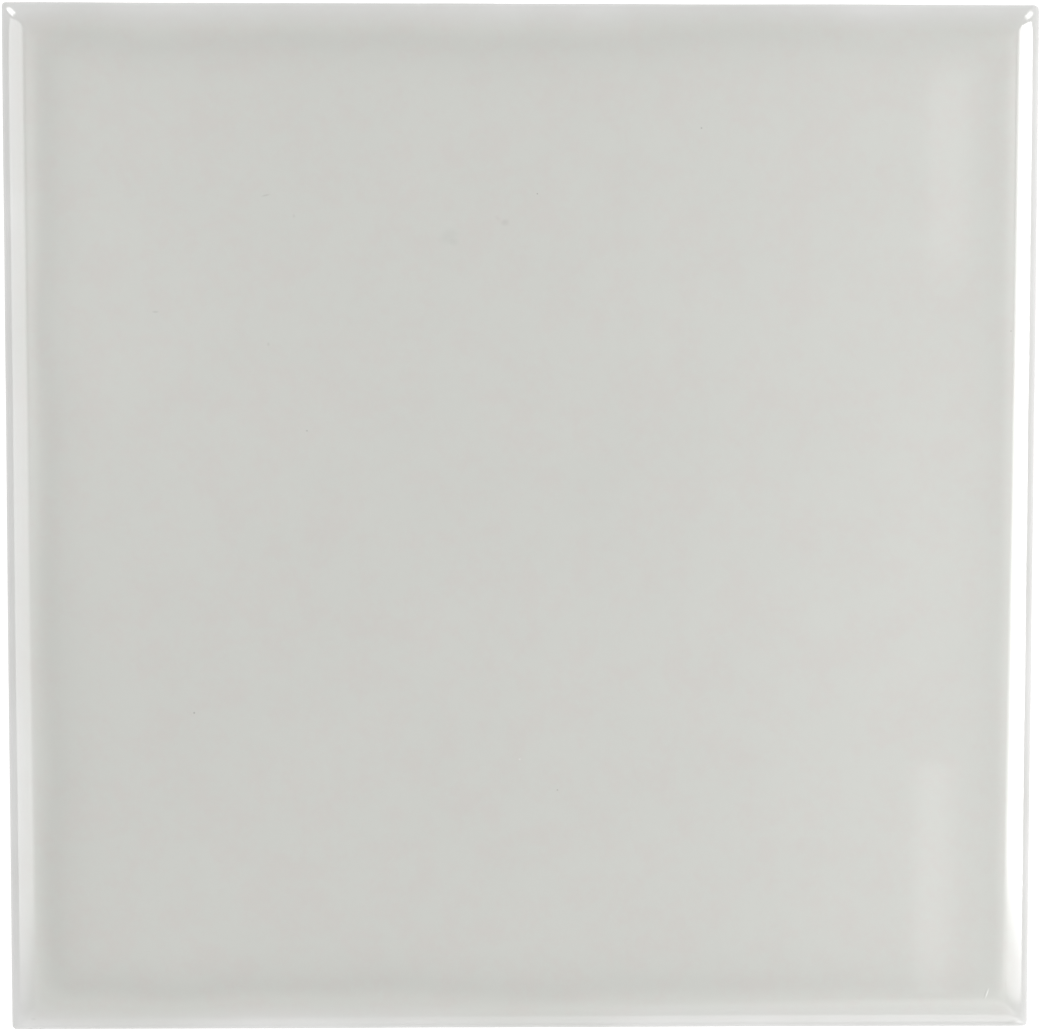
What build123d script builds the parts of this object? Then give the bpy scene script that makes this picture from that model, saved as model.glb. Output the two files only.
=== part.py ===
from build123d import *
import os
from math import cos, radians, sin, tan

# A square glazed wall tile, pressed and fired as one piece. It lies on its back with the glazed
# face up. Sizes are in millimetres. The origin is the middle of the back, and +Z points out of
# the face.

# Overall size
TILE_SIDE = 152.0  # over the shoulder, the widest line of the tile
TILE_THICKNESS = 8.0  # from the ribs of the back to the glazed face
CORNER_RADIUS = 0.75  # of the shoulder's corners, seen from the front

# Cushioned edge, where the face rolls down to the shoulder
CUSHION_WIDTH = 5.5  # how far in from the shoulder the flat face starts
CUSHION_DROP = 2.0  # how far the shoulder lies below the face
FACE_CORNER_RADIUS = 1.5  # of the flat face's corners, softer than the shoulder's
CUSHION_STEPS = 8  # sections along the roll

# Side walls, which lean in towards the back so that the tile leaves its die
WALL_DRAFT = 1.5  # degrees
BACK_CHAMFER = 0.5  # height of the chamfer around the back, where the arris wears off
CHAMFER_SLOPE = 45.0  # degrees

# Waffle key on the back, a grid of ribs that the adhesive grips
KEY_BORDER = 6.0  # plain land around the grid
KEY_POCKETS = 6  # along each side
KEY_RIB = 3.0  # width of a rib at the back plane
KEY_DEPTH = 0.7
KEY_DRAFT = 30.0  # degrees, slope of the pocket walls
KEY_CORNER_RADIUS = 1.5

shoulder_height = TILE_THICKNESS - CUSHION_DROP
wall_height = shoulder_height - BACK_CHAMFER
back_inset = wall_height * tan(radians(WALL_DRAFT)) + BACK_CHAMFER * tan(radians(CHAMFER_SLOPE))
back_side = TILE_SIDE - 2 * back_inset
key_side = back_side - 2 * KEY_BORDER
pocket_side = (key_side - (KEY_POCKETS - 1) * KEY_RIB) / KEY_POCKETS
pocket_pitch = pocket_side + KEY_RIB

with BuildPart() as tile:
    # Side walls, from the shoulder down, and the chamfer below them
    with BuildSketch(Plane.XY.offset(shoulder_height)):
        RectangleRounded(TILE_SIDE, TILE_SIDE, CORNER_RADIUS)
    extrude(amount=-wall_height, taper=WALL_DRAFT)
    wall_foot = tile.faces().sort_by(Axis.Z).first
    extrude(wall_foot, amount=BACK_CHAMFER, taper=CHAMFER_SLOPE)

    # Cushioned edge, a quarter of an ellipse lofted through rounded squares
    for step in range(CUSHION_STEPS + 1):
        turn = radians(90 * step / CUSHION_STEPS)
        rolled_in = 1 - cos(turn)
        section_side = TILE_SIDE - 2 * CUSHION_WIDTH * rolled_in
        section_height = shoulder_height + CUSHION_DROP * sin(turn)
        section_corner = CORNER_RADIUS + (FACE_CORNER_RADIUS - CORNER_RADIUS) * rolled_in
        with BuildSketch(Plane.XY.offset(section_height)):
            RectangleRounded(section_side, section_side, section_corner)
    loft()

    # Waffle key, pressed into the back as shallow pockets with sloping walls
    with BuildSketch(Plane.XY):
        RectangleRounded(pocket_side, pocket_side, KEY_CORNER_RADIUS)
    pocket = extrude(amount=KEY_DEPTH, taper=KEY_DRAFT, mode=Mode.PRIVATE)
    with GridLocations(pocket_pitch, pocket_pitch, KEY_POCKETS, KEY_POCKETS):
        add(pocket, mode=Mode.SUBTRACT)

tile.part.label = "tile"

os.makedirs("parts", exist_ok=True)
export_step(tile.part, "parts/tile.step")
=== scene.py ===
from math import cos, exp, pi, radians, sin, tan

import bmesh
import bpy
import numpy as np
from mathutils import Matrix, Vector, noise


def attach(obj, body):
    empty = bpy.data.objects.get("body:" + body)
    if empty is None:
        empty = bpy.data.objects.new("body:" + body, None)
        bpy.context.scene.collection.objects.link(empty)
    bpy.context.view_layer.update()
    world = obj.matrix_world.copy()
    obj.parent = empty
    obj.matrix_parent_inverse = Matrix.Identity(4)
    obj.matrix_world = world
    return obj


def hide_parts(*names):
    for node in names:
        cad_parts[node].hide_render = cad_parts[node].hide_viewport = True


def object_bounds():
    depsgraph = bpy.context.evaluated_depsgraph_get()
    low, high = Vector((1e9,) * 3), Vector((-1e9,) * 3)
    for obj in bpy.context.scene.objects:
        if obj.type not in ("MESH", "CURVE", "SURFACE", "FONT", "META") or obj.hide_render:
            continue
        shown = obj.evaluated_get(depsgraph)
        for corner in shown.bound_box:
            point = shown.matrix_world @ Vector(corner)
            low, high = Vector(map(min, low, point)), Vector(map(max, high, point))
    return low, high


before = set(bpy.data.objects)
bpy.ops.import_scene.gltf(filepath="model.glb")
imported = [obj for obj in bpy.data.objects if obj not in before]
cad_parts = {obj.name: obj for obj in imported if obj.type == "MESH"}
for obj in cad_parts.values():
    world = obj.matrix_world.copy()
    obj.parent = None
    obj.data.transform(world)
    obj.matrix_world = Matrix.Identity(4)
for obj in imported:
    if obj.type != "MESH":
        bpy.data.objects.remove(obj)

# A square glazed wall tile that lies on its back, seen from above. Shapes are worked out in
# millimetres and scaled to metres when the mesh is made.
MM = 0.001
cad_low, cad_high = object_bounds()
SIDE = (cad_high.x - cad_low.x) / MM
THICKNESS = (cad_high.z - cad_low.z) / MM

# Section of the tile, the same as the part's
CUSHION_WIDTH = 5.5
CUSHION_DROP = 2.0
WALL_DRAFT = radians(1.5)
BACK_CHAMFER = 0.5
KEY_BORDER = 6.0
KEY_POCKETS = 6
KEY_RIB = 3.0
KEY_DEPTH = 0.7
KEY_DRAFT = radians(30.0)
KEY_CORNER_RADIUS = 1.5

# Corners seen from the front, which the glaze makes less even than the part's
SHOULDER_RADII = (0.75, 0.75, 0.95, 0.6)  # near left, near right, far right, far left
FACE_CORNER_RADIUS = 0.4
CORNER_SWELL = 0.76  # growth of the radius for each millimetre in from the shoulder
CORNER_SWELL_REACH = 1.6  # how far in the swelling holds before the face's radius takes over
SMALLEST_RADIUS = 0.05

# Ripples in the face and wander of the edges
SLOW_RIPPLE = 0.003
SLOW_WAVE = 24.0
QUICK_RIPPLE = 0.0004
QUICK_WAVE = 7.0
EDGE_WANDER = 0.05
EDGE_WAVE = 16.0
EDGE_PULL = 0.6  # share of the wander that the edges are drawn in by, to stay in the part's box

# Foot of the glaze, which stops part of the way down the wall
FOOT_HEIGHT = 3.3
FOOT_WANDER = 0.55
FOOT_WAVE = 9.0
DRIP_LENGTH = 0.9
DRIP_WAVE = 4.5
DRIP_THRESHOLD = 0.35  # only the waves above this level drip
FOOT_BULGE = 0.05
FOOT_TUCK = 0.02  # how much of the bulge is drawn in at the very foot
GLAZE_STEP = 0.07  # from the wall's surface to the bare body below the glaze
STEP_DROP = 0.03  # height of half of that step

# Bare body: grain on the wall, a worn chamfer, and pockets whose walls bend into rib and floor
BODY_GRAIN = 0.02
BODY_GRAIN_WAVE = 2.3
WORN_CHAMFER = ((0.1, 0.38), (0.25, 0.21), (0.42, 0.07), (0.62, 0.01), (0.95, 0.0))  # in, up
BEND_REACH = 0.24  # how far a bend reaches onto the flat
BEND_MIDDLE = 0.084  # where a bend is about to leave the flat
BEND_DIP = 0.012  # how far it has left it there
RIB_BEND = 0.11  # how deep the bend from the rib goes
FLOOR_BEND = 0.09  # how high the bend from the floor goes
BEND_SHARE = 0.1  # share of the wall's slope that lies in each bend

# Seeds of the noise, one for each kind of wave
SLOW_SEED = 0.37
QUICK_SEED = 4.61
EDGE_SEED = 5.29
FOOT_SEED = 8.13
DRIP_SEED = 2.71
GRAIN_SEED = 11.0

# How finely the surface is divided. The rows are shares of the way down or in.
ARC_STEPS = 6
CELL_STEPS = 14
SIDE_STEPS = CELL_STEPS * KEY_POCKETS
CUSHION_ROWS = 28
GLAZED_ROWS = (0.12, 0.26, 0.42, 0.58, 0.72, 0.84, 0.92, 0.97)
BARE_ROWS = (0.02, 0.2, 0.4, 0.6, 0.8, 1.0)
LAND_ROWS = (0.35, 0.7, 1.0)
WELD_GAP = 0.001  # points closer than this are one

# Places of the two finishes in the tile's list of materials
GLAZE = 0
BODY = 1

half_side = SIDE / 2
shoulder_height = THICKNESS - CUSHION_DROP
wall_foot_inset = (shoulder_height - BACK_CHAMFER) * tan(WALL_DRAFT)
back_half = half_side - wall_foot_inset - BACK_CHAMFER
key_side = 2 * (back_half - KEY_BORDER)
pocket_side = (key_side - (KEY_POCKETS - 1) * KEY_RIB) / KEY_POCKETS
pocket_pitch = pocket_side + KEY_RIB


def wave(x, y, length, seed):
    """Smooth noise from about -1 to 1 with bumps of that length."""
    return noise.noise(Vector((x / length, y / length, seed)))


def waves(flat, length, seed):
    """The same noise at each of a row of points."""
    return np.array([wave(x, y, length, seed) for x, y in flat])


def rounded_square(half, radii, steps):
    """Points round a square, steps to a side, and the outward direction at each.

    radii are those of the corners, from the near left one on. A side starts and ends in the
    middle of a corner's arc.
    """
    points, directions = [], []
    for quarter in range(4):
        turn = radians(90 * quarter)
        start, end = radii[quarter], radii[(quarter + 1) % 4]
        for i in range(steps):
            if i <= ARC_STEPS:
                out = radians(45 * i / ARC_STEPS - 135)
                x, y, radius = start - half, start - half, start
            elif i >= steps - ARC_STEPS:
                out = radians(45 * (i - steps + ARC_STEPS) / ARC_STEPS - 90)
                x, y, radius = half - end, end - half, end
            else:
                out = radians(-90)
                share = (i - ARC_STEPS) / (steps - 2 * ARC_STEPS)
                x, y, radius = (start - half) * (1 - share) + (half - end) * share, -half, 0.0
            x += radius * cos(out)
            y += radius * sin(out)
            points.append((x * cos(turn) - y * sin(turn), x * sin(turn) + y * cos(turn)))
            directions.append((cos(out + turn), sin(out + turn)))
    return np.array(points), np.array(directions)


def plain_square(half, steps):
    """Points evenly spaced round a square with sharp corners."""
    along = [-half + 2 * half * i / steps for i in range(steps)]
    side = [(a, -half) for a in along]
    points = []
    for quarter in range(4):
        points.extend(side)
        side = [(-y, x) for x, y in side]
    return np.array(points)


def outline(inset=0.0):
    """The shoulder's outline, moved in by so much."""
    radii = [max(radius - inset, SMALLEST_RADIUS) for radius in SHOULDER_RADII]
    return rounded_square(half_side - inset, radii, SIDE_STEPS)


class Skin:
    """Points in millimetres, and the quads between them with the finish that each one wears."""

    def __init__(self):
        self.points = []
        self.quads = []
        self.finishes = []

    def ring(self, flat, heights):
        """Adds a ring of points and returns their numbers."""
        first = len(self.points)
        heights = np.broadcast_to(heights, len(flat))
        self.points.extend((x, y, z) for (x, y), z in zip(flat, heights))
        return list(range(first, first + len(flat)))

    def bridge(self, before, after, finish):
        """Quads from one ring to the next, in the order face, wall, back."""
        for i in range(len(before)):
            j = (i + 1) % len(before)
            self.quads.append((before[i], after[i], after[j], before[j]))
            self.finishes.append(finish)

    def fill(self, ring, height, finish, faces_up):
        """A grid of quads inside a ring. height gives z at a point."""
        steps = len(ring) // 4
        corner = [np.array(self.points[ring[k * steps]][:2]) for k in range(4)]
        low = ring[:steps + 1]
        right = ring[steps:2 * steps + 1]
        high = ring[2 * steps:3 * steps + 1][::-1]
        left = (ring[3 * steps:] + ring[:1])[::-1]
        grid = [low]
        for j in range(1, steps):
            v = j / steps
            row = [left[j]]
            for i in range(1, steps):
                u = i / steps
                flat = [np.array(self.points[k][:2]) for k in (low[i], high[i], left[j], right[j])]
                across = (1 - v) * flat[0] + v * flat[1] + (1 - u) * flat[2] + u * flat[3]
                lower = (1 - u) * corner[0] + u * corner[1]
                upper = (1 - u) * corner[3] + u * corner[2]
                x, y = across - (1 - v) * lower - v * upper
                row.append(len(self.points))
                self.points.append((x, y, height(x, y)))
            row.append(right[j])
            grid.append(row)
        grid.append(high)
        for below, above in zip(grid, grid[1:]):
            for i in range(steps):
                quad = (below[i], below[i + 1], above[i + 1], above[i])
                self.quads.append(quad if faces_up else quad[::-1])
                self.finishes.append(finish)

    def to_object(self, name, materials):
        """A smooth mesh object in metres, with the points that coincide made one."""
        mesh = bpy.data.meshes.new(name)
        mesh.from_pydata([tuple(c * MM for c in p) for p in self.points], [], self.quads)
        for material in materials:
            mesh.materials.append(material)
        mesh.polygons.foreach_set("material_index", self.finishes)
        mesh.polygons.foreach_set("use_smooth", [True] * len(self.quads))
        shape = bmesh.new()
        shape.from_mesh(mesh)
        bmesh.ops.remove_doubles(shape, verts=shape.verts, dist=WELD_GAP * MM)
        shape.to_mesh(mesh)
        shape.free()
        made = bpy.data.objects.new(name, mesh)
        bpy.context.scene.collection.objects.link(made)
        return made


def face_height(x, y):
    """Height of the glazed face, with the slow waves that the glaze sets in."""
    slow = SLOW_RIPPLE * wave(x, y, SLOW_WAVE, SLOW_SEED)
    quick = QUICK_RIPPLE * wave(x, y, QUICK_WAVE, QUICK_SEED)
    return THICKNESS - SLOW_RIPPLE + slow + quick


def roll_radii(inset):
    """Corner radii on the roll, largest a little way up from the shoulder, where glaze gathers."""
    share = exp(-(inset / CORNER_SWELL_REACH) ** 2)
    swell = CORNER_SWELL * inset - FACE_CORNER_RADIUS
    return [FACE_CORNER_RADIUS + (radius + swell) * share for radius in SHOULDER_RADII]


def add_face(skin, wander):
    """The flat face and the cushioned edge. Returns the ring at the shoulder."""
    before = None
    for row in range(CUSHION_ROWS + 1):
        turn = radians(90 * (1 - row / CUSHION_ROWS))
        inset = CUSHION_WIDTH * (1 - cos(turn))
        flat, out = rounded_square(half_side - inset, roll_radii(inset), SIDE_STEPS)
        flat = flat + out * (wander * cos(turn))[:, None]
        crest = np.array([face_height(x, y) for x, y in flat])
        ring = skin.ring(flat, shoulder_height + (crest - shoulder_height) * sin(turn))
        if before:
            skin.bridge(before, ring, GLAZE)
        else:
            skin.fill(ring, face_height, GLAZE, faces_up=True)
        before = ring
    return before


def wall_ring(skin, heights, wander, proud):
    """A ring on the side wall, which leans in towards the back, proud of it by so much."""
    inset = (shoulder_height - heights) * tan(WALL_DRAFT)
    flat, out = outline()
    return skin.ring(flat + out * (wander + proud - inset)[:, None], heights)


def add_wall(skin, shoulder, wander):
    """The glaze down to its foot, a small step and the bare wall.

    Returns the ring above the chamfer.
    """
    flat, _ = outline()
    drips = np.maximum(0.0, waves(flat, DRIP_WAVE, DRIP_SEED) - DRIP_THRESHOLD)
    foot = FOOT_HEIGHT + FOOT_WANDER * waves(flat, FOOT_WAVE, FOOT_SEED) - DRIP_LENGTH * drips
    bare_top = foot - 2 * STEP_DROP
    before = shoulder
    for share in GLAZED_ROWS:
        heights = shoulder_height + (foot - shoulder_height) * share
        ring = wall_ring(skin, heights, wander, FOOT_BULGE * share ** 3)
        skin.bridge(before, ring, GLAZE)
        before = ring
    for drop, proud in ((0.0, FOOT_BULGE - FOOT_TUCK), (STEP_DROP, -GLAZE_STEP / 2)):
        ring = wall_ring(skin, foot - drop, wander, proud)
        skin.bridge(before, ring, GLAZE)
        before = ring
    for share in BARE_ROWS:
        heights = bare_top + (BACK_CHAMFER - bare_top) * share
        grain = BODY_GRAIN * waves(flat, BODY_GRAIN_WAVE, GRAIN_SEED + share)
        ring = wall_ring(skin, heights, wander, grain - GLAZE_STEP)
        skin.bridge(before, ring, BODY)
        before = ring
    return before


def add_pocket(skin, centre):
    """One pocket of the key and half of the rib around it."""
    slope = KEY_DEPTH * tan(KEY_DRAFT)
    section = (
        (BEND_REACH, 0.0),
        (BEND_MIDDLE, BEND_DIP),
        (-BEND_SHARE * slope, RIB_BEND),
        (-slope / 2, KEY_DEPTH / 2),
        (-(1 - BEND_SHARE) * slope, KEY_DEPTH - FLOOR_BEND),
        (-slope - BEND_MIDDLE, KEY_DEPTH - BEND_DIP),
        (-slope - BEND_REACH, KEY_DEPTH),
    )
    before = skin.ring(centre + plain_square(pocket_pitch / 2, CELL_STEPS), 0.0)
    for out_by, depth in section:
        half = pocket_side / 2 + out_by
        flat, _ = rounded_square(half, [KEY_CORNER_RADIUS + out_by] * 4, CELL_STEPS)
        ring = skin.ring(centre + flat, depth)
        skin.bridge(before, ring, BODY)
        before = ring
    skin.fill(before, lambda x, y: KEY_DEPTH, BODY, faces_up=False)


def add_back(skin, wall_foot, wander):
    """The chamfer, the plain land and the waffle key of the back."""
    before = wall_foot
    for inset, height in WORN_CHAMFER:
        flat, out = outline(wall_foot_inset + GLAZE_STEP + inset)
        ring = skin.ring(flat + out * wander[:, None], height)
        skin.bridge(before, ring, BODY)
        before = ring
    key_half = pocket_pitch * KEY_POCKETS / 2
    key_edge = plain_square(key_half, SIDE_STEPS)
    for share in LAND_ROWS:
        ring = skin.ring(flat + (key_edge - flat) * share, 0.0)
        skin.bridge(before, ring, BODY)
        before = ring
    for column in range(KEY_POCKETS):
        for row in range(KEY_POCKETS):
            centre = [pocket_pitch * (n + 0.5) - key_half for n in (column, row)]
            add_pocket(skin, np.array(centre))


def build_tile(materials):
    """The whole tile as one closed skin. materials are those of the glaze and the bare body."""
    skin = Skin()
    flat, _ = outline()
    wander = EDGE_WANDER * (waves(flat, EDGE_WAVE, EDGE_SEED) - EDGE_PULL)
    shoulder = add_face(skin, wander)
    wall_foot = add_wall(skin, shoulder, wander)
    add_back(skin, wall_foot, wander)
    return skin.to_object("glazed_tile", materials)


class Shader:
    """The node tree of a material, the world or a lamp, with short ways to add its nodes."""

    def __init__(self, owner):
        owner.use_nodes = True
        self.owner = owner
        self.tree = owner.node_tree
        self.tree.nodes.clear()

    def add(self, kind, inputs, **settings):
        """Adds a node. An input is a value or another node's output."""
        node = self.tree.nodes.new("ShaderNode" + kind)
        for name, value in settings.items():
            setattr(node, name, value)
        for socket, value in inputs.items():
            if isinstance(value, bpy.types.NodeSocket):
                self.tree.links.new(value, node.inputs[socket])
            else:
                node.inputs[socket].default_value = value
        return node

    def math(self, operation, *values):
        return self.add("Math", dict(enumerate(values)), operation=operation).outputs[0]

    def scale(self, vector, factor):
        return self.add("VectorMath", {0: vector, "Scale": factor}, operation="SCALE").outputs[0]

    def mix(self, share, first, second):
        """From the first colour to the second as the share goes from 0 to 1."""
        return self.add("Mix", {0: share, 6: first, 7: second}, data_type="RGBA").outputs[2]

    def carry(self, value, source, target, curve="LINEAR"):
        """Carries a value from one range over to another, and holds it there."""
        ranges = {1: source[0], 2: source[1], 3: target[0], 4: target[1]}
        return self.add("MapRange", {0: value, **ranges}, interpolation_type=curve).outputs[0]

    def position(self):
        """The place on the piece, in millimetres."""
        return self.scale(self.add("TexCoord", {}).outputs["Object"], 1 / MM)

    def noise(self, at, length, detail=2.0, fineness=0.5):
        """Noise about 0 with bumps of that length, in millimetres.

        detail is how many times finer bumps are added, each by that share of the ones before.
        """
        made = self.add("TexNoise", {
            "Vector": at, "Scale": 1 / length, "Detail": detail, "Roughness": fineness})
        return self.math("SUBTRACT", made.outputs[0], 0.5)

    def vary(self, level, depth, at, length, detail=2.0):
        """A level that such noise of that depth is added to."""
        return self.math("MULTIPLY_ADD", self.noise(at, length, detail), depth, level)

    def ramp(self, value, stops):
        """A smooth curve near the stops, each a place from 0 to 1 and a level."""
        top = max(level for place, level in stops)
        made = self.add("ValToRGB", {0: value})
        made.color_ramp.interpolation = "B_SPLINE"
        elements = made.color_ramp.elements
        while len(elements) < len(stops):
            elements.new(1.0)
        for element, (place, level) in zip(elements, stops):
            share = level / top
            element.position = place
            element.color = (share, share, share, 1.0)
        return self.math("MULTIPLY", made.outputs[0], top)

    def finish(self, kind, shader):
        """Links the last shader to the output, and returns what the tree belongs to."""
        output = self.tree.nodes.new("ShaderNodeOutput" + kind)
        self.tree.links.new(shader.outputs[0], output.inputs[0])
        return self.owner


# Glaze. A tone is a list of places, as shares of its reach, and levels of brightness there.
GLAZE_COLOUR = (0.549, 0.556, 0.525, 1.0)
PATCH_COLOUR = (0.551, 0.540, 0.513, 1.0)
PATCH_SIZE = 5.0
PATCH_DETAIL = 3.0
PATCH_FINENESS = 0.85
PATCH_NOISE = (-0.06, 0.14)  # from no patch to a full one
CLOUD_SIZE = 38.0
CLOUD_DEPTH = 0.035
DRIFT_SIZE = 9.0
DRIFT_DEPTH = 0.02
GRAIN_SIZE = 1.4
GRAIN_DEPTH = 0.02
GRAIN_DETAIL = 3.0
GLAZE_IOR = 1.58
GLAZE_ROUGHNESS = 0.03
ROUGHNESS_SIZE = 14.0
ROUGHNESS_DEPTH = 0.02
PEEL_SIZE = 3.2
PEEL_HEIGHT = 0.0012
EDGE_CORNER = 5.0  # width over which the distances from two sides run together at a corner
RAGGED_SIZE = 22.0
RAGGED_DEPTH = 4.0
# Paler towards the outline: partly the thin glaze over the pale body, partly painted light on the
# steep rounded edge
RIM_COLOUR = (0.562, 0.562, 0.555, 1.0)
RIM_REACH = 4.0
RIM_TONE = ((0.0, 1.21), (0.25, 1.11), (0.5, 1.05), (0.75, 1.02), (1.0, 1.0))
# A darker ring a little way in from where the cushion meets the face, deeper towards the left than
# the right
HALO_REACH = 20.0
HALO_TONE = ((0.0, 1.0), (0.2, 1.02), (0.3, 0.92), (0.42, 0.965), (0.62, 0.995), (1.0, 1.0))
HALO_SHIFT = (0.2, 0.5)
HALO_DEPTH = (1.3, 0.7)  # at the left edge and at the right
SPECK_AND_SHADE_COLOUR = (0.30, 0.30, 0.28, 1.0)
GLINT_AND_FLECK_COLOUR = (0.86, 0.86, 0.84, 1.0)
MARK_CORE = 0.15  # share of a mark's size at which it starts to fade
# Place, half length, half width, turn in degrees and strength of each speck or blot, and of the dark
# line of painted shade beside the near right nick
SPECKS_AND_NICK_SHADE = (
    (-10.7, 42.0, 2.1, 1.5, 35, 0.10),
    (-10.2, 41.3, 1.3, 0.9, -20, 0.13),
    (-2.5, 44.0, 0.9, 0.7, 10, 0.18),
    (-3.6, 44.6, 0.8, 0.4, -50, 0.06),
    (-37.5, 47.9, 0.95, 0.2, 12, 0.3),
    (-33.4, 44.9, 0.3, 0.35, 0, 0.16),
    (-53.7, 30.9, 0.65, 0.24, 0, 0.28),
    (-37.2, 26.2, 0.3, 0.4, 0, 0.2),
    (2.2, 48.2, 0.16, 0.16, 0, 0.9),
    (26.2, 57.8, 0.18, 0.18, 0, 0.8),
    (-31.6, 13.5, 0.18, 0.18, 0, 0.7),
    (-48.4, -28.2, 0.2, 0.2, 0, 0.9),
    (5.3, -39.8, 0.17, 0.17, 0, 0.7),
    (72.0, 28.2, 0.16, 0.16, 0, 0.7),
    (73.6, -75.1, 1.3, 0.5, 12, 0.16),
    (-72.6, -74.1, 0.6, 0.3, 0, 0.14),
    (-73.2, -75.9, 0.5, 0.3, 0, 0.5),
    (-71.7, -75.9, 0.3, 0.3, 0, 0.4),
    # painted shade along the nick's dark side
    (69.3, -70.6, 1.1, 0.12, 72, 0.25),
)
# The same for each pale mark: a painted highlight along the near right nick, and a small pale fleck
NICK_GLINT_AND_FLECK = (
    # painted highlight along the nick
    (69.6, -70.6, 1.1, 0.14, 72, 0.6),
    (-0.3, -35.2, 0.25, 0.2, 0, 0.3),
)


def distance_from_edge(shader, x, y, shift):
    """Distance in from the tile's outline, with the tile's middle taken to be shifted by so much."""
    across = shader.math("ABSOLUTE", shader.math("SUBTRACT", x, shift[0]))
    along = shader.math("ABSOLUTE", shader.math("SUBTRACT", y, shift[1]))
    return shader.math("SUBTRACT", half_side, shader.math("SMOOTH_MAX", across, along, EDGE_CORNER))


def add_marks(shader, flat, marks):
    """How strongly the marks show, from 0 to 1. Each is an ellipse that fades at its edge."""
    strongest = 0.0
    for x, y, half_length, half_width, turn, strength in marks:
        within = shader.add("Mapping", {
            "Vector": flat, "Location": (x, y, 0.0), "Rotation": (0.0, 0.0, radians(turn)),
            "Scale": (half_length, half_width, 1.0)}, vector_type="TEXTURE").outputs[0]
        gap = shader.add("VectorMath", {0: within}, operation="LENGTH").outputs["Value"]
        mark = shader.carry(gap, (MARK_CORE, 1.0), (strength, 0.0), "SMOOTHSTEP")
        strongest = shader.math("MAXIMUM", strongest, mark)
    return strongest


def glaze_material():
    """Pale grey gloss glaze, with the tones that its thickness gives it and a few marks."""
    shader = Shader(bpy.data.materials.new("glaze"))
    at = shader.position()
    x, y, z = shader.add("SeparateXYZ", {0: at}).outputs
    below = shader.math("MAXIMUM", shader.math("SUBTRACT", shoulder_height, z), 0.0)
    ragged = shader.vary(below, RAGGED_DEPTH, at, RAGGED_SIZE)

    # Paler on the arris, partly where the glaze is thin over the pale body and partly as painted
    # light on the steep rounded edge, and darker a little way in from where the cushion meets the
    # face
    from_edge = shader.math("ADD", ragged, distance_from_edge(shader, x, y, (0.0, 0.0)))
    off_rim = shader.math("DIVIDE", from_edge, RIM_REACH)
    rim = shader.ramp(off_rim, RIM_TONE)
    from_halo = shader.math("ADD", ragged, distance_from_edge(shader, x, y, HALO_SHIFT))
    halo = shader.ramp(shader.math("DIVIDE", from_halo, HALO_REACH), HALO_TONE)
    depth = shader.carry(x, (-half_side, half_side), HALO_DEPTH)
    halo = shader.math("MULTIPLY_ADD", shader.math("SUBTRACT", halo, 1.0), depth, 1.0)

    # Faint clouds and warmer patches in the colour
    clouds = shader.vary(1.0, CLOUD_DEPTH, at, CLOUD_SIZE)
    drifts = shader.vary(clouds, DRIFT_DEPTH, at, DRIFT_SIZE)
    grain = shader.vary(drifts, GRAIN_DEPTH, at, GRAIN_SIZE, GRAIN_DETAIL)
    tone = shader.math("MULTIPLY", shader.math("MULTIPLY", rim, halo), grain)
    warmth = shader.noise(at, PATCH_SIZE, PATCH_DETAIL, PATCH_FINENESS)
    patches = shader.carry(warmth, PATCH_NOISE, (0.0, 1.0))
    field = shader.mix(patches, GLAZE_COLOUR, PATCH_COLOUR)
    tinted = shader.scale(shader.mix(off_rim, RIM_COLOUR, field), tone)

    # A few specks and blots, and a nick drawn only in colour: a pale painted highlight on one side
    # and painted shade on the other
    flat = shader.add("CombineXYZ", {0: x, 1: y}).outputs[0]
    specked_and_shaded = shader.mix(add_marks(shader, flat, SPECKS_AND_NICK_SHADE), tinted, SPECK_AND_SHADE_COLOUR)
    colour = shader.mix(add_marks(shader, flat, NICK_GLINT_AND_FLECK), specked_and_shaded, GLINT_AND_FLECK_COLOUR)

    # Gloss, with the faint peel that glaze sets in
    roughness = shader.vary(GLAZE_ROUGHNESS, ROUGHNESS_DEPTH, at, ROUGHNESS_SIZE)
    peel = shader.noise(at, PEEL_SIZE, detail=1.0)
    bump = shader.add("Bump", {"Strength": 1.0, "Distance": PEEL_HEIGHT * MM, "Height": peel})
    return shader.finish("Material", shader.add("BsdfPrincipled", {
        "Base Color": colour, "Roughness": roughness, "IOR": GLAZE_IOR, "Normal": bump.outputs[0]}))


# Bare fired body
BODY_COLOUR = (0.70, 0.655, 0.575)
BODY_ROUGHNESS = 0.9
BODY_CLOUD_SIZE = 26.0
BODY_CLOUD_DEPTH = 0.16
BODY_SPECKLE_SIZE = 0.7
BODY_SPECKLE_DEPTH = 0.22
PIT_SIZE = 0.5
PIT_DEPTH = 0.06
PIT_STRENGTH = 0.7
BODY_DETAIL = 4.0


def body_material():
    """Dry cream body, clouded and finely pitted."""
    shader = Shader(bpy.data.materials.new("bare_body"))
    at = shader.position()
    clouds = shader.vary(1.0, BODY_CLOUD_DEPTH, at, BODY_CLOUD_SIZE)
    tone = shader.vary(clouds, BODY_SPECKLE_DEPTH, at, BODY_SPECKLE_SIZE, BODY_DETAIL)
    colour = shader.scale(BODY_COLOUR, tone)
    pits = shader.noise(at, PIT_SIZE, BODY_DETAIL)
    bump = shader.add("Bump", {"Strength": PIT_STRENGTH, "Distance": PIT_DEPTH * MM, "Height": pits})
    return shader.finish("Material", shader.add("BsdfPrincipled", {
        "Base Color": colour, "Roughness": BODY_ROUGHNESS, "Normal": bump.outputs[0]}))


# Floor, in metres. It looks white to the camera and in reflections, and takes the tile's shadow.
FLOOR_SIZE = 6.0
FLOOR_DROP = 0.00002
FLOOR_COLOUR = (0.85, 0.85, 0.85, 1.0)
FLOOR_SEEN_COLOUR = (0.5, 0.5, 0.5, 1.0)
FLOOR_GLOW = 0.72


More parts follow.
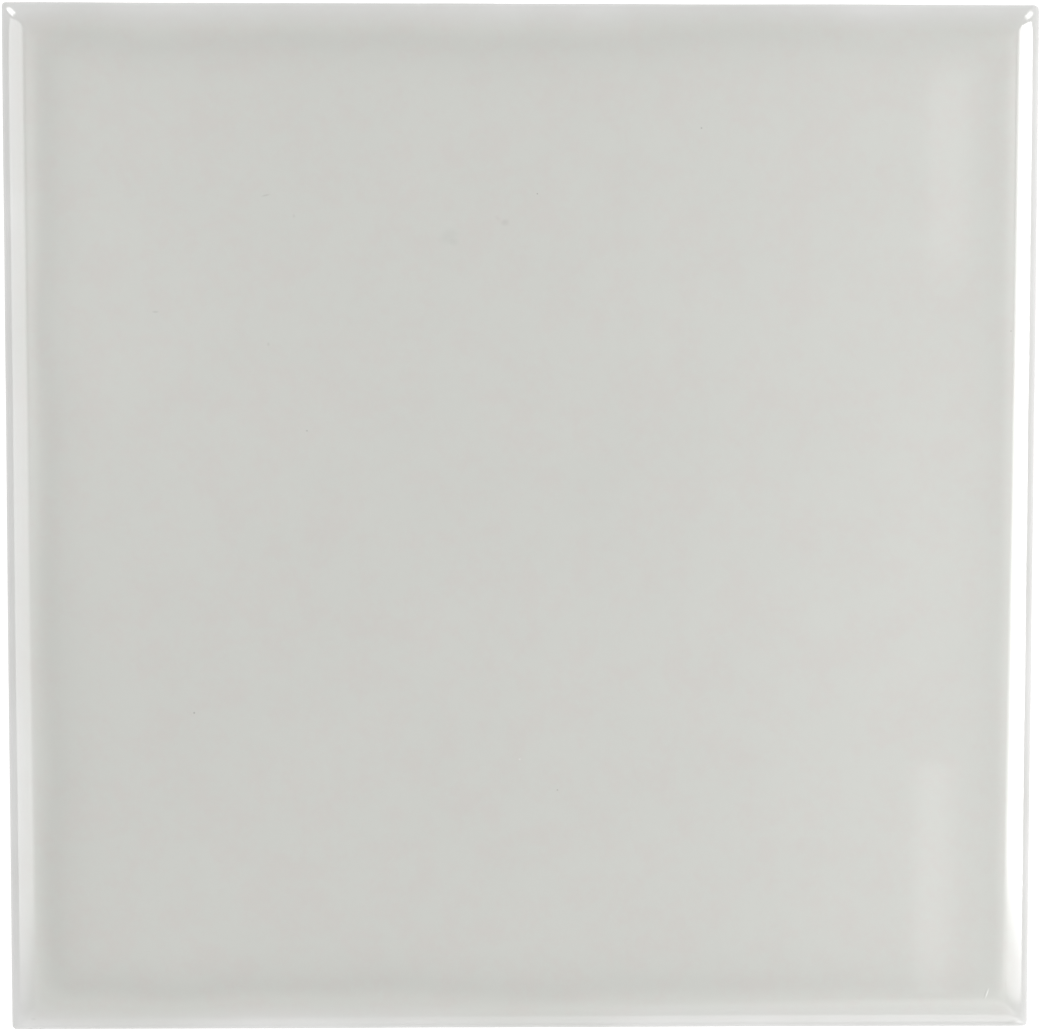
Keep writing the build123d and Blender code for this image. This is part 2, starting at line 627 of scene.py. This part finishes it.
def seen_directly(shader):
    """1 for the camera's rays and for those of reflections and glass, 0 for the light's own."""
    path = shader.add("LightPath", {})
    seen = shader.math("MAXIMUM", path.outputs["Is Camera Ray"], path.outputs["Is Glossy Ray"])
    return shader.math("MAXIMUM", seen, path.outputs["Is Transmission Ray"])


def floor_material():
    """Pale matt floor, which glows only where it is seen."""
    shader = Shader(bpy.data.materials.new("floor"))
    seen = seen_directly(shader)
    matt = shader.add("BsdfDiffuse", {"Color": shader.mix(seen, FLOOR_COLOUR, FLOOR_SEEN_COLOUR)})
    glow = shader.add("Emission", {"Strength": shader.math("MULTIPLY", seen, FLOOR_GLOW)})
    both = shader.add("AddShader", {0: matt.outputs[0], 1: glow.outputs[0]})
    return shader.finish("Material", both)


def add_floor():
    edge = FLOOR_SIZE / 2
    mesh = bpy.data.meshes.new("floor")
    corners = [(-edge, -edge, 0), (edge, -edge, 0), (edge, edge, 0), (-edge, edge, 0)]
    mesh.from_pydata(corners, [], [(0, 1, 2, 3)])
    mesh.materials.append(floor_material())
    floor = bpy.data.objects.new("floor", mesh)
    floor.location.z = -FLOOR_DROP
    bpy.context.scene.collection.objects.link(floor)


# Room, which is white where it is seen and a little dimmer as a light
AMBIENT = 0.80
WHITE = (1.0, 1.0, 1.0, 1.0)


def light_room():
    world = bpy.data.worlds.new("room")
    shader = Shader(world)
    strength = shader.math("MULTIPLY_ADD", seen_directly(shader), 1.0 - AMBIENT, AMBIENT)
    shader.finish("World", shader.add("Background", {"Color": WHITE, "Strength": strength}))
    bpy.context.scene.world = world


def fades(left, right, low, high):
    """Edges of a glow that fills its lamp, and the shares of the lamp over which each fades."""
    return (0, 0, left), (1, 1, right), (0, 0, low), (1, 1, high)


# Edges of a lamp's glow: left, right, low and high. Each has its place at its two ends and the
# width over which the glow fades, as shares of the lamp's size.
SHARP = fades(0.01, 0.01, 0.01, 0.01)
SOFT = fades(0.5, 0.5, 0.5, 0.5)
GLOW_EDGES = fades(0.5, 0.5, 0.3, 0.3)
KICK_EDGES = fades(0.25, 0.25, 0.25, 0.25)
SPILL_EDGES = fades(0.1, 0.1, 0.05, 0.95)
ROLL_EDGES = fades(0.6, 0.3, 0.1, 0.35)
NEAR_EDGES = fades(0.35, 0.5, 0.3, 0.02)
FAR_EDGES = fades(0.2, 0.3, 0.3, 0.2)
RIGHT_EDGES = ((0.055, 0.1, 0.1), (0.793, 0.969, 0.02), (0.02, 0, 0.03), (1.0, 0.81, 0.17))
TAIL_EDGES = ((0.02, 0.035, 0.04), (0.22, 0.22, 0.12), (0, 0, 0.03), (1.0, 0.85, 0.24))
LEFT_EDGES = ((0.285, 0.02, 0.02), (0.979, 0.96, 0.1), (-0.1, 0.15, 0.06), (0.825, 1.01, 0.15))
FRONT_EDGES = ((0, 0, 0.8), (1, 1, 0.1), (0.2, 0.2, 0.35), (1, 1, 0.03))
CORNER_EDGES = ((0, 0, 0.5), (1, 1, 0.3), (0.2, 0.2, 0.35), (1, 1, 0.03))

# Lamps that light the tile: name, place, aim, size as wide and high, and radiance
LIGHTS = (
    ("right_key", (402, 0, 385), (75, 0, 7), (420, 396), 1.77),
    ("left_key", (-1334, 0, 1561), (-75, 0, 7), (1200, 1475), 1.06),
    ("right_low", (475, 0, 105), (0, 0, 105), (800, 206), 0.5),
    ("front_low", (300, -475, 105), (300, 0, 105), (600, 206), 0.7),
)
LIGHT_GAP = 20.0  # how far the lights stand behind those places, clear of the reflections' lamps

# Lamps that only show as reflections in the glaze: the same, and the edges of their glow
REFLECTIONS = (
    ("right", (402, 0, 385), (75, 0, 7), (420, 396), 9.0, RIGHT_EDGES),
    ("right_tail", (395, 0, 377), (75, 0, 7), (410, 388), 3.8, TAIL_EDGES),
    ("left", (-1334, 0, 1561), (-75, 0, 7), (1200, 1475), 2.9, LEFT_EDGES),
    ("right_spill", (225, -40, 484), (75, -40, 7), (340, 123), 1.4, SPILL_EDGES),
    ("left_spill", (-626, -155, 1929), (-75, -155, 7), (890, 456), 0.7, SPILL_EDGES),
    ("front", (0, -475, 197), (0, 0, 197), (800, 392), 1.1, FRONT_EDGES),
    ("front_corner", (250, -470, 197), (250, 0, 197), (560, 392), 1.6, CORNER_EDGES),
    ("front_glow", (230, -390, 545), (70, -72, 8), (620, 360), 1.7, ROLL_EDGES),
    ("back_left", (-609, 609, 663), (-75, 75, 7), (600, 385), 7.5, KICK_EDGES),
    ("back_right", (609, 609, 663), (75, 75, 7), (510, 385), 6.5, KICK_EDGES),
    ("near_strip", (204, -235, 900), (204, -235, 0), (28, 131), 0.8, NEAR_EDGES),
    ("far_strip", (207, 91, 900), (207, 91, 0), (24, 120), 0.55, FAR_EDGES),
    ("glow", (260, -150, 905), (260, -150, 0), (480, 1080), 0.75, GLOW_EDGES),
    ("far_glow", (-300, 60, 910), (-300, 60, 0), (520, 480), 0.8, SOFT),
)


def edge_place(shader, edge, along):
    """Where an edge lies, between its places at its two ends."""
    first, last, _ = edge
    return shader.math("MULTIPLY_ADD", along, last - first, first)


def soften(lamp, edges):
    """Bounds a lamp's glow by its edges."""
    shader = Shader(lamp)
    spot = shader.add("NewGeometry", {}).outputs["Parametric"]
    across, up, _ = shader.add("SeparateXYZ", {0: spot}).outputs
    left, right, low, high = edges
    strength = 1.0
    for start, end, here, along in ((left, right, across, up), (low, high, up, across)):
        past_start = shader.math("SUBTRACT", here, edge_place(shader, start, along))
        before_end = shader.math("SUBTRACT", edge_place(shader, end, along), here)
        for gap, (_, _, fade) in ((past_start, start), (before_end, end)):
            rise = shader.carry(gap, (0.0, fade), (0.0, 1.0), "SMOOTHSTEP")
            strength = shader.math("MULTIPLY", rise, strength)
    shader.finish("Light", shader.add("Emission", {"Strength": strength}))


def add_lamp(name, place, aim, size, radiance, edges):
    """An area light that faces the point aim."""
    wide, high = size[0] * MM, size[1] * MM
    lamp = bpy.data.lights.new(name, "AREA")
    lamp.shape = "RECTANGLE"
    lamp.size = wide
    lamp.size_y = high
    lamp.energy = radiance * wide * high * pi
    soften(lamp, edges)
    box = bpy.data.objects.new(name, lamp)
    box.location = Vector(place) * MM
    box.rotation_euler = (Vector(aim) - Vector(place)).to_track_quat("-Z", "Y").to_euler()
    bpy.context.scene.collection.objects.link(box)
    return box


def add_lamps():
    """The lights, which don't show in the glaze, and the reflections, which light nothing matt."""
    for name, place, aim, size, radiance in LIGHTS:
        behind = Vector(place) + (Vector(place) - Vector(aim)).normalized() * LIGHT_GAP
        lamp = add_lamp(name + "_light", behind, aim, size, radiance, SHARP)
        lamp.visible_glossy = False
    for name, place, aim, size, radiance, edges in REFLECTIONS:
        lamp = add_lamp(name + "_shine", place, aim, size, radiance, edges)
        lamp.visible_diffuse = False


# Camera, above the tile, a little off its middle and tipped
CAMERA_PLACE = (-8.81, 31.05, 450.0)
CAMERA_TURN = (radians(-3.898), radians(-1.110), radians(0.057))
CAMERA_LENS = 103.98
SENSOR_WIDTH = 36.0


def add_camera():
    data = bpy.data.cameras.new("camera")
    data.sensor_width = SENSOR_WIDTH
    data.lens = CAMERA_LENS
    camera = bpy.data.objects.new("camera", data)
    camera.location = [c * MM for c in CAMERA_PLACE]
    camera.rotation_euler = CAMERA_TURN
    bpy.context.scene.collection.objects.link(camera)
    bpy.context.scene.camera = camera


bpy.context.scene.view_settings.view_transform = "Standard"
tile = build_tile((glaze_material(), body_material()))
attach(tile, "root")
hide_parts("tile")
add_floor()
light_room()
add_lamps()
add_camera()
